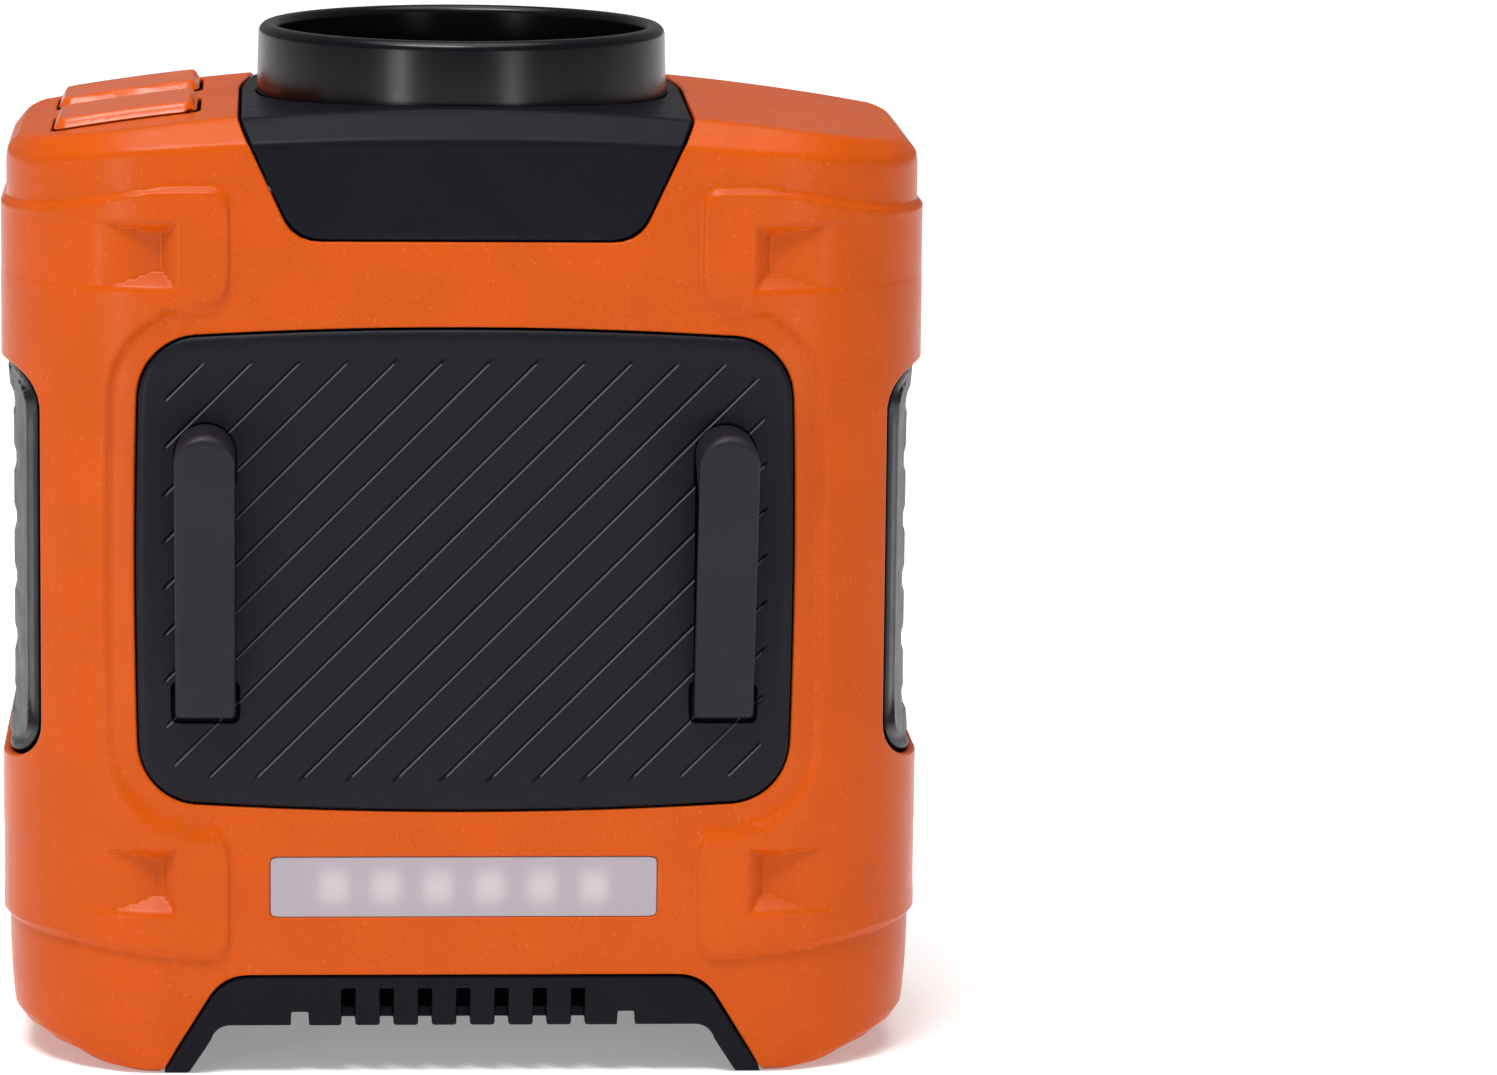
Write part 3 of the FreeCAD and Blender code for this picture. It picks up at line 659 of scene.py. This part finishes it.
def lens_material():
    """Frosted lens with painted light: soft spots of the six lamps behind it."""
    n = Nodes("lamp_lens")
    x, _, z = n.axes()
    turn = n.math("MULTIPLY", x, 2 * math.pi / (LAMP_PITCH * MM))
    wave = n.math("MULTIPLY", n.math("COSINE", turn), -1.0)
    lit = n.span(n.math("ABSOLUTE", x), 16.5 * MM, 19.5 * MM, 1, 0)
    height = n.math("ABSOLUTE", n.math("SUBTRACT", z, sum(LAMP[2:]) / 2 * MM))
    band = n.span(height, 0.3 * MM, 3.0 * MM, 1, 0.1)
    # Painted light: paler spots where the lamps shine through, fading towards the ends and away from the
    # middle height.
    painted_lamp_spots = n.math("MULTIPLY", n.math("MULTIPLY", n.span(wave, -1, 1, 0.1, 1), lit), band)
    cloud = n.span(n.noise(1.6, 3.0), 0.3, 0.7, 0.85, 1.0)
    tone = n.mix(n.math("MULTIPLY", painted_lamp_spots, cloud), srgb(160, 150, 157), srgb(186, 177, 182))
    n.link(tone, n.shader.inputs["Base Color"])
    n.link(n.span(n.noise(0.8, 4.0), 0.3, 0.7, 0.42, 0.6), n.shader.inputs["Roughness"])
    n.link(n.bump(n.noise(0.3, 3.0), 0.01), n.shader.inputs["Normal"])
    n.shader.inputs["Subsurface Weight"].default_value = 0.15
    n.shader.inputs["Subsurface Radius"].default_value = (0.001, 0.001, 0.001)
    return n.material


ORANGE = (190, 76, 7)
PAINTS = {
    "shell_orange": moulded("shell_orange", ORANGE, 0.3, 0.03, 0.03, 0.25, 0.0007, 0.12,
                            speck=(0.12, (228, 136, 84))),
    "key_orange": moulded("key_orange", (204, 84, 12), 0.22, 0.03, 0.03, 0.25, 0.0007, 0.2),
    "trim_black": moulded("trim_black", (19, 20, 26), 0.36, 0.03, 0.06, 0.2, 0.002, 0.06, edge_highlight=0.02),
    "ring_black": moulded("ring_black", (4, 4, 9), 0.25, 0.02, 0.06, 0.12, 0.001, 0.26, edge_highlight=0.02),
    "panel_black": moulded("panel_black", (19, 19, 26), 0.4, 0.02, 0.05, 0.2, 0.002, 0.13, edge_highlight=0.0,
                           highlit_grooves=True),
    "clip_black": moulded("clip_black", (32, 31, 37), 0.42, 0.03, 0.05, 0.18, 0.004, 0.15),
    "inner_black": moulded("inner_black", (12, 12, 13), 0.6, 0.08, 0.1, 0.3, 0.01, 0.3),
    "impeller_grey": moulded("impeller_grey", (58, 60, 64), 0.45, 0.08, 0.06, 0.3, 0.006),
    "grip_rubber": moulded("grip_rubber", (17, 18, 24), 0.42, 0.04, 0.08, 0.15, 0.004, 0.2),
    "cover_rubber": moulded("cover_rubber", (18, 18, 20), 0.7, 0.08, 0.1, 0.15, 0.01, 0.3),
    "lamp_chip": moulded("lamp_chip", (238, 226, 150), 0.35, 0.05, 0.04, 0.3, 0.004),
    "board_white": moulded("board_white", (226, 228, 224), 0.4, 0.05, 0.03, 0.4, 0.004),
    "board_green": moulded("board_green", (24, 92, 54), 0.35, 0.06, 0.1, 0.5, 0.006),
    "switch_black": moulded("switch_black", (24, 24, 26), 0.4, 0.06, 0.08, 0.2, 0.004),
    "cell_wrap": moulded("cell_wrap", (44, 92, 150), 0.3, 0.06, 0.05, 0.6, 0.004, coat=0.3),
    "motor_copper": moulded("motor_copper", (176, 98, 58), 0.35, 0.1, 0.15, 0.4, 0.02, metallic=0.9),
    "motor_steel": moulded("motor_steel", (150, 152, 156), 0.3, 0.08, 0.06, 0.3, 0.004, metallic=1.0),
    "bearing_steel": moulded("bearing_steel", (176, 178, 182), 0.22, 0.06, 0.05, 0.3, 0.003, metallic=1.0),
    "screw_steel": moulded("screw_steel", (112, 112, 116), 0.34, 0.08, 0.08, 0.2, 0.006, metallic=1.0),
    "port_steel": moulded("port_steel", (188, 190, 194), 0.26, 0.06, 0.05, 0.3, 0.003, metallic=1.0),
    "lamp_lens": lens_material(),
}


# Housing skins

def s_at(x):
    """The front parameter where the wall is x from the middle."""
    flat = HALF_WIDTH - FRONT_TURN
    turned = math.asin(min(max((x - flat) / FRONT_TURN, 0), 1))
    return min(x, flat) + turned * FRONT_TURN


def both_ways(details, middle=0.0):
    return [(middle + side * place, half, fine) for place, half, fine in details for side in (-1, 1)]


# Where the shells' grids are finer: at the edges of the openings, pockets, bumpers and columns
FINE = 0.42
FRONT_DETAILS = both_ways([(s_at(27.7), 1.6, FINE), (s_at(34.5), 2.2, FINE), (s_at(38.3), 1.0, FINE),
                           (s_at(41.3), 1.7, FINE), (s_at(49.3), 1.2, FINE), (s_at(22.1), 1.0, 0.6)])
REAR_DETAILS = both_ways([(27.7, 1.6, FINE), (34.5, 2.2, FINE), (38.3, 1.0, FINE), (41.3, 1.7, FINE),
                          (50.5, 1.5, FINE), (7.0, 1.5, FINE)], REAR_MIDDLE)
WALL_DETAILS = [(-3.5, 2.5, 0.6), (11.8, 1.2, 0.5), (15.2, 1.8, FINE), (20.6, 1.6, FINE), (26.4, 1.6, FINE),
                (31.9, 1.0, 0.5), (35.2, 1.4, 0.5), (83.8, 1.4, 0.5), (88.6, 1.2, 0.5), (94.3, 1.6, FINE),
                (99.6, 2.0, FINE), (103.6, 2.0, FINE), (110.0, 2.0, 0.4), (115.5, 2.0, 0.5)]
T_LOW, T_HIGH = BASE_START - 20, TOP_START + 25


def build_shells():
    keys = [key_outline(span) for span in KEYS.values()]

    def shared(p):
        found = [collar_outline(p), base_outline(p), grip_outline(p), panel_outline(p)]
        return np.min(found + [key(p) + TIGHT for key in keys], axis=0)

    def front(p):
        return np.minimum(shared(p), lamp_outline(p) + TIGHT)

    def rear(p):
        return np.min([shared(p), port_outline(p), screw_outline(p)], axis=0)

    t_lines = lines(T_LOW, T_HIGH, 1.25, WALL_DETAILS)
    edge = PARTING_S - PARTING_HALF
    s_lines = lines(-edge, edge, 1.25, FRONT_DETAILS)
    shell = skin("front_shell_skin", housing_rays, s_lines, t_lines, shell_field, front)
    dress(shell, PAINTS["shell_orange"], "shell_orange", "housing", "front_shell")
    edge = PARTING_S + PARTING_HALF
    s_lines = lines(edge, 2 * REAR_MIDDLE - edge, 1.25, REAR_DETAILS)
    shell = skin("rear_shell_skin", housing_rays, s_lines, t_lines, shell_field, rear)
    dress(shell, PAINTS["shell_orange"], "shell_orange", "housing", "rear_shell")


def build_collar():
    def inside(p):
        return np.minimum(-collar_outline(p) - GAP, ring_outline(p))

    t_lines = lines(94, TOP_START + LID_SPAN * 0.97, 0.9, [(110, 2.0, 0.35), (115.5, 2.0, 0.4)])
    s_lines = lines(-COLLAR_FRONT_S, COLLAR_FRONT_S, 0.8)
    half = skin("collar_front_skin", housing_rays, s_lines, t_lines, collar_field, inside, rim=0.3)
    dress(half, PAINTS["trim_black"], "trim_black", "housing", "collar_front")
    edge = PARTING_S + COLLAR_PARTING_HALF
    s_lines = lines(edge, 2 * REAR_MIDDLE - edge, 0.8)
    half = skin("collar_rear_skin", housing_rays, s_lines, t_lines, collar_field, inside, rim=0.3)
    dress(half, PAINTS["trim_black"], "trim_black", "housing", "collar_rear")


def build_grips():
    def inside(p):
        return -grip_outline(p) - GRIP_GAP

    z_lines = lines(GRIP_MIDDLE - GRIP_REACH - 1, GRIP_MIDDLE + GRIP_REACH + 1, 0.45)
    start, end = s_at(GRIP_EDGE) - 2.5, SIDE_END + 13.0
    for name, span in (("grip_right", (start, end)), ("grip_left", (-end, -start))):
        grip = skin(name + "_skin", housing_rays, lines(*span, 0.45), z_lines, grip_field, inside,
                    rim=0.2, wall=1.6)
        dress(grip, PAINTS["grip_rubber"], "grip_rubber", "housing", name)


def build_key(name, body, s_lines):
    """A raised shoulder key. Its sheet is the shell's, finer."""
    outline = key_outline(KEYS[name])

    def inside(p):
        return -outline(p) - KEY_GAP

    t_lines = lines(WALL_HIGH + 3, TOP_START + 20, 0.45)
    key = skin(name + "_skin", housing_rays, s_lines, t_lines, key_field(outline), inside,
               rim=0.12, wall=2.4, draft=KEY_DRAFT)
    dress(key, PAINTS["key_orange"], "key_orange", body, name)


def build_keys():
    once_round = 2 * REAR_MIDDLE
    build_key("key_light", "light_key", lines(-PARTING_S, -40, 0.4))
    build_key("key_fan", "fan_key", lines(once_round - REAR_START - 12, once_round - PARTING_S, 0.5))


def clip_slot(p):
    """Outline of the slots that the clips' posts stand in."""
    x, z = np.abs(np.abs(p[:, 0]) - CLIP_X), p[:, 2]
    round_top = np.where(z > CLIP_TOP, np.hypot(x, z - CLIP_TOP), x)
    return np.maximum(round_top - CLIP_HALF - 0.08, POST_LOW - z)


def tip_pocket(p):
    """Outline of the shallow pockets that the clips' tips dip into."""
    x = np.abs(np.abs(p[:, 0]) - CLIP_X)
    return rounded_box(x, p[:, 2], TIP_POCKET, 0.6)


def panel_drop(edge):
    """How far a panel's face falls back near its edge."""
    near = np.clip(1 - edge / PANEL_EDGE, 0, 1)
    return PANEL_DROP * (1 - np.sqrt(1 - near * near))


def clip_panel_field(p):
    """The panel's face, falling away at its edges, with diagonal grooves."""
    edge = -panel_outline(p)
    across = (p[:, 2] - PANEL_MIDDLE - p[:, 0]) / math.sqrt(2)
    from_groove = np.abs((across / GROOVE_PITCH + 0.5) % 1 - 0.5) * GROOVE_PITCH
    groove = np.clip(1 - from_groove / GROOVE_HALF, 0, 0.9) * smoothstep(3.3, 3.7, edge)
    return PANEL_FACE + panel_drop(edge) + GROOVE_DEEP * groove - p[:, 1]


def slab(x0, x1, y0, y1, z0, z1):
    """Points and faces of a plain block, used only behind openings."""
    points = [(x, y, z) for x in (x0, x1) for y in (y0, y1) for z in (z0, z1)]
    return points, [(0, 1, 3, 2), (4, 6, 7, 5), (0, 4, 5, 1), (2, 3, 7, 6), (0, 2, 6, 4), (1, 5, 7, 3)]


def joined(name, parts):
    points, faces = [], []
    for some_points, some_faces in parts:
        faces += [[i + len(points) for i in face] for face in some_faces]
        points += some_points
    return solid(name, points, faces)


def build_clip_panel():
    def inside(p):
        return np.min([-panel_outline(p) - GAP, clip_slot(p), tip_pocket(p)], axis=0)

    groove_lines = [(k * GROOVE_PITCH, 0.34, 0.07) for k in range(-12, 13)]
    plate = skin("clip_panel_skin", face_rays(-1, PANEL_FACE, math.pi / 4), lines(-48, 48, 0.55),
                 lines(-48, 48, 0.9, groove_lines), clip_panel_field, inside, rim=0.15, wall=2.4)
    dress(plate, PAINTS["panel_black"], "panel_black", "housing", "clip_plate")
    floors = []
    for side in (-1, 1):
        middle = side * CLIP_X
        floors.append(slab(middle - 5, middle + 5, PANEL_FACE + 0.7, PANEL_FACE + 1.9, 41.5, 48))
        floors.append(slab(middle - 5, middle + 5, PANEL_FACE + 1.6, PANEL_FACE + 2.2, 69, 79))
    floor = joined("clip_panel_floor", floors)
    dress(floor, PAINTS["panel_black"], "panel_black", "housing")


def rear_panel_field(p):
    return p[:, 1] - REAR_FACE + panel_drop(-panel_outline(p))


def louvres(p):
    """Outline of the rear intake slots: nine rows of three."""
    x, z = p[:, 0], p[:, 2]
    row = np.clip(np.round((z - ROW_LOW) / ROW_PITCH), 0, ROWS - 1) * ROW_PITCH + ROW_LOW
    middle = np.clip(np.round(x / SLOT_PITCH), -1, 1) * SLOT_PITCH
    return rounded(np.abs(x - middle) - SLOT_HALF, np.abs(z - row) - SLOT_HIGH, 0.8)


def build_rear_panel():
    def inside(p):
        return np.minimum(-panel_outline(p) - GAP, louvres(p))

    rows = []
    for row in range(ROWS):
        height = ROW_LOW + ROW_PITCH * row - PANEL_MIDDLE
        rows += [(height - SLOT_HIGH, 0.5, 0.22), (height + SLOT_HIGH, 0.5, 0.22)]
    ends = both_ways([(10.5, 0.8, 0.25), (26.5, 0.8, 0.25), (8.0, 0.8, 0.25)])
    plate = skin("rear_panel_skin", face_rays(1, REAR_FACE), lines(-39, 39, 0.9, ends),
                 lines(-29.5, 29.5, 0.9, rows), rear_panel_field, inside, rim=0.3, wall=2.2)
    dress(plate, PAINTS["panel_black"], "panel_black", "housing", "rear_panel")


def build_lens():
    lens_face = FRONT + 0.15

    def face(p):
        return lens_face - p[:, 1]

    def inside(p):
        return -lamp_outline(p) - TIGHT - 0.03

    low, high = LAMP[2] - PANEL_MIDDLE, LAMP[3] - PANEL_MIDDLE
    lens = skin("lamp_lens_skin", face_rays(-1, lens_face), lines(-23, 23, 0.6),
                lines(low - 0.5, high + 0.5, 0.4), face, inside, rim=0.12, wall=1.8)
    dress(lens, PAINTS["lamp_lens"], "lamp_lens", "housing", "led_window")


def rounded_outline(corners, radii, steps=8):
    """A closed outline with each corner turned by its own radius."""
    found = []
    corners = np.array(corners, float)
    for index, corner in enumerate(corners):
        before = unit((corners[index - 1] - corner)[None])[0]
        after = unit((corners[(index + 1) % len(corners)] - corner)[None])[0]
        half = math.acos(np.clip(before @ after, -1, 1)) / 2
        radius = radii[index]
        middle = corner + unit((before + after)[None])[0] * radius / math.sin(half)
        start = corner + before * radius / math.tan(half) - middle
        end = corner + after * radius / math.tan(half) - middle
        turn = math.atan2(start[0] * end[1] - start[1] * end[0], start @ end)
        for step in range(steps + 1):
            angle = turn * step / steps
            spun = (start[0] * math.cos(angle) - start[1] * math.sin(angle),
                    start[0] * math.sin(angle) + start[1] * math.cos(angle))
            found.append(middle + spun)
    return np.array(found)


def clip_stations():
    """Places across a clip's width, each with how far its side outline has shrunk there."""
    flat = [(x, 0.0) for x in np.linspace(0, CLIP_HALF - CLIP_EDGE, 8)[:-1]]
    edge = [(CLIP_HALF - CLIP_EDGE * (1 - math.sin(a)), CLIP_EDGE * (1 - math.cos(a)))
            for a in np.linspace(0, math.pi / 2, 5)]
    half = flat + edge
    return [(-x, shrink) for x, shrink in reversed(half[1:])] + half


def swept(rings):
    """Points and faces of a solid through rings of points, closed at both ends."""
    count = len(rings[0])
    points = [point for ring in rings for point in ring]
    faces = []
    for row in range(len(rings) - 1):
        for k in range(count):
            a, b = row * count + k, row * count + (k + 1) % count
            faces.append((a, b, b + count, a + count))
    faces.append(list(range(count))[::-1])
    faces.append([k + (len(rings) - 1) * count for k in range(count)])
    return points, faces


def build_clips():
    """A side outline swept across the clip's width, with rounded edges and a half-round top."""
    outline = rounded_outline(CLIP_SIDE, CLIP_RADII)
    ahead = np.roll(outline, -1, 0) - np.roll(outline, 1, 0)
    inward = unit(np.stack([ahead[:, 1], -ahead[:, 0]], 1))
    middle = outline.mean(0)
    if ((outline + inward * 0.1 - middle) ** 2).sum() > ((outline - middle) ** 2).sum():
        inward = -inward
    for side, name, body in ((-1, "clip_left", "left_clip"), (1, "clip_right", "right_clip")):
        rings = []
        for x, shrink in clip_stations():
            y, z = (outline + inward * shrink).T
            squeeze = math.sqrt(max(1 - (x / (CLIP_HALF + 0.02)) ** 2, 0))
            z = np.where(z > CLIP_TOP, CLIP_TOP + (z - CLIP_TOP) * squeeze, z)
            rings.append([(side * CLIP_X + x, y_at, z_at) for y_at, z_at in zip(y, z)])
        clip = solid(name + "_arm", *swept(rings))
        outward_normals(clip)
        dress(clip, PAINTS["clip_black"], "clip_black", body, name)


def outward_normals(piece, angle=35):
    """Faces outwards, and creases sharper than the angle kept."""
    work = bmesh.new()
    work.from_mesh(piece.data)
    bmesh.ops.recalc_face_normals(work, faces=work.faces)
    work.to_mesh(piece.data)
    work.free()
    piece.data.set_sharp_from_angle(angle=math.radians(angle))


def build_ring():
    """The outlet ring: a rounded lip on a slightly tapered wall, with the sleeve below it."""
    profile = rounded_outline(
        [(RING_OUTER + 0.1, RING_SEAT), (RING_OUTER - 0.15, RING_CREST), (BORE, RING_CREST),
         (BORE, SLEEVE_STEP), (SLEEVE_BORE, SLEEVE_STEP), (SLEEVE_BORE, SLEEVE_LOW),
         (SLEEVE_OUTER, SLEEVE_LOW), (SLEEVE_OUTER, RING_SEAT)],
        [0.3, 1.15, 1.0, 0.05, 0.2, 0.2, 0.2, 0.05], 10)
    count, turns = len(profile), 240
    points, faces = [], []
    for turn in range(turns):
        angle = 2 * math.pi * turn / turns
        points += [(r * math.cos(angle), r * math.sin(angle), z) for r, z in profile]
        for k in range(count):
            a, b = turn * count + k, turn * count + (k + 1) % count
            shift = ((turn + 1) % turns - turn) * count
            faces.append((a, b, b + shift, a + shift))
    ring = solid("outlet_ring_lathe", points, faces)
    outward_normals(ring, 40)
    dress(ring, PAINTS["ring_black"], "ring_black", "housing", "outlet_ring")


BEVELS = {"base_grille": 0.35, "outlet_guard": 0.25, "impeller": 0.25, "port_cover": 0.3, "fan_duct": 0.2,
          "motor_mount": 0.2, "motor_rotor": 0.3, "usb_c_port": 0.08, "housing_screws": 0.12,
          "key_board": 0.1, "main_board": 0.15, "battery_cradle_left": 0.3, "battery_cradle_right": 0.3}


def finish_cad_nodes():
    """Materials, joined vertices and softened edges for the CAD nodes that stay in view."""
    for part in frame["record"]["subparts"]:
        node = NODES[part["node"]]
        node.data.materials.clear()
        node.data.materials.append(PAINTS[part["material_slot"]])
        if node.hide_render:
            continue
        weld = node.modifiers.new("weld", "WELD")
        weld.merge_threshold = 1e-6
        bevel = node.modifiers.new("soft_edges", "BEVEL")
        bevel.width = BEVELS.get(part["node"], 0.15) * MM
        bevel.segments = 2
        bevel.limit_method = "ANGLE"
        bevel.angle_limit = math.radians(38)
        bevel.harden_normals = True


for build in (build_shells, build_collar, build_grips, build_keys, build_clip_panel, build_rear_panel,
              build_lens, build_clips, build_ring, finish_cad_nodes):
    build()


# Stage, lights and camera

def build_stage():
    """A pale floor, lit a little from below like a light table."""
    mesh = bpy.data.meshes.new("floor")
    reach = 8.0
    corners = [(-reach, -reach, 0), (reach, -reach, 0), (reach, reach, 0), (-reach, reach, 0)]
    mesh.from_pydata(corners, [], [(0, 1, 2, 3)])
    floor = bpy.data.objects.new("floor", mesh)
    bpy.context.scene.collection.objects.link(floor)
    n = Nodes("pale_floor")
    tone = n.mix(n.span(n.noise(60.0, 3.0), 0.3, 0.7, 0, 1), (0.9, 0.9, 0.9), (0.92, 0.92, 0.92))
    n.link(tone, n.shader.inputs["Base Color"])
    n.shader.inputs["Roughness"].default_value = 0.9
    n.shader.inputs["Specular IOR Level"].default_value = 0.1
    n.shader.inputs["Emission Color"].default_value = (1, 1, 1, 1)
    n.shader.inputs["Emission Strength"].default_value = FLOOR_GLOW
    floor.data.materials.append(n.material)


def aim(thing, place, target):
    thing.location = place
    thing.rotation_euler = (Vector(target) - Vector(place)).to_track_quat("-Z", "Y").to_euler()


def soft_box(name, place, target, width, height, radiance):
    """A rectangular light that gives the same brightness whatever its size."""
    data = bpy.data.lights.new(name, "AREA")
    data.shape = "RECTANGLE"
    data.size, data.size_y = width, height
    data.energy = radiance * math.pi * width * height
    light = bpy.data.objects.new(name, data)
    light.visible_camera = False
    bpy.context.scene.collection.objects.link(light)
    aim(light, place, target)


def build_lights():
    world = bpy.data.worlds.new("studio")
    bpy.context.scene.world = world
    world.use_nodes = True
    sky = world.node_tree.nodes["Background"]
    sky.inputs["Color"].default_value = (0.96, 0.98, 1.0, 1)
    sky.inputs["Strength"].default_value = 0.25
    sun = bpy.data.lights.new("ceiling", "SUN")
    sun.energy = 2.1
    sun.angle = math.radians(55)
    lamp = bpy.data.objects.new("ceiling", sun)
    bpy.context.scene.collection.objects.link(lamp)
    aim(lamp, (-0.03, -0.1, 1.0), (0, 0, 0))
    soft_box("overhead_box", (-0.235, -0.44, 1.05), (-0.05, -0.02, 0.1), 0.5, 0.17, 28.0)
    for name, turn, radiance in (("strip_left", -36, 10.0), ("strip_right", 27, 6.0)):
        angle = math.radians(turn)
        place = (0.6 * math.sin(angle), -0.6 * math.cos(angle), 0.09)
        soft_box(name, place, (0, 0, 0.1), 0.09, 0.17, radiance)


def build_camera():
    """A long lens, nine degrees above level and nearly square to the front."""
    data = bpy.data.cameras.new("camera")
    data.sensor_width = CAMERA_SENSOR
    data.lens = CAMERA_LENS
    data.clip_start, data.clip_end = 0.01, 50
    camera = bpy.data.objects.new("camera", data)
    bpy.context.scene.collection.objects.link(camera)
    place = Matrix.Translation((Vector(CAMERA_PLACE) + Vector((0, AXIS_Y, 0))) * MM)
    for angle, axis in ((CAMERA_YAW, "Z"), (CAMERA_PITCH, "X"), (CAMERA_ROLL, "Z")):
        place = place @ Matrix.Rotation(math.radians(angle), 4, axis)
    camera.matrix_world = place
    bpy.context.scene.camera = camera


build_stage()
build_lights()
build_camera()
bpy.context.scene.view_settings.view_transform = "Standard"
